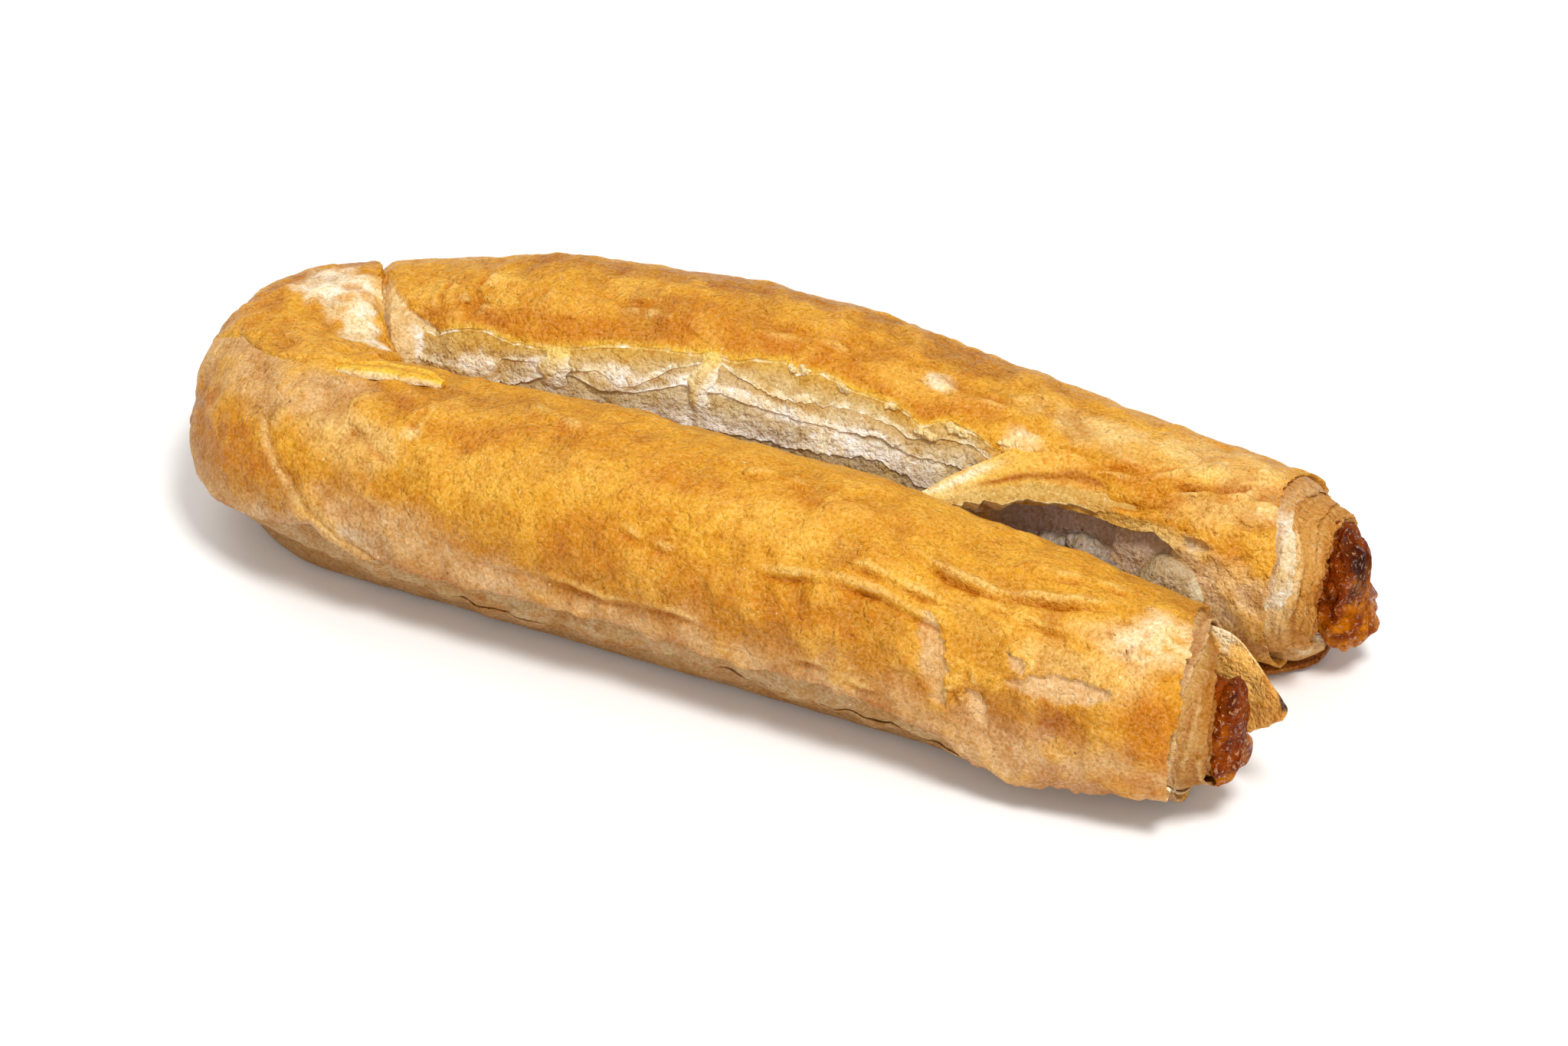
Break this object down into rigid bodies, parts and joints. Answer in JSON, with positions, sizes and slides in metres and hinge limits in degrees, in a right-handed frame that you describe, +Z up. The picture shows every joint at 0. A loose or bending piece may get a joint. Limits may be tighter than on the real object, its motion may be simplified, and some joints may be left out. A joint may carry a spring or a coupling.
{
  "type": "burek",
  "caption": "Baked burek: a roll of thin flaky dough round a sweet filling, bent into a narrow hairpin that lies flat with both open ends side by side",
  "frame": {"origin": "Middle of the bounding box in plan, on the surface that the burek lies on.", "axes": "+X along the two arms towards their open ends, +Y from the arm with the smooth skin to the arm with the torn inner side, +Z up."},
  "size_m": [0.2071, 0.0859, 0.0386],
  "materials": {
    "baked_dough": "baked golden brown, satin, flaky",
    "filling": "caramelised, glossy, rough"
  },
  "bodies": {
    "root": {"pastry": "baked_dough", "filling": "filling"}
  },
  "joints": []
}
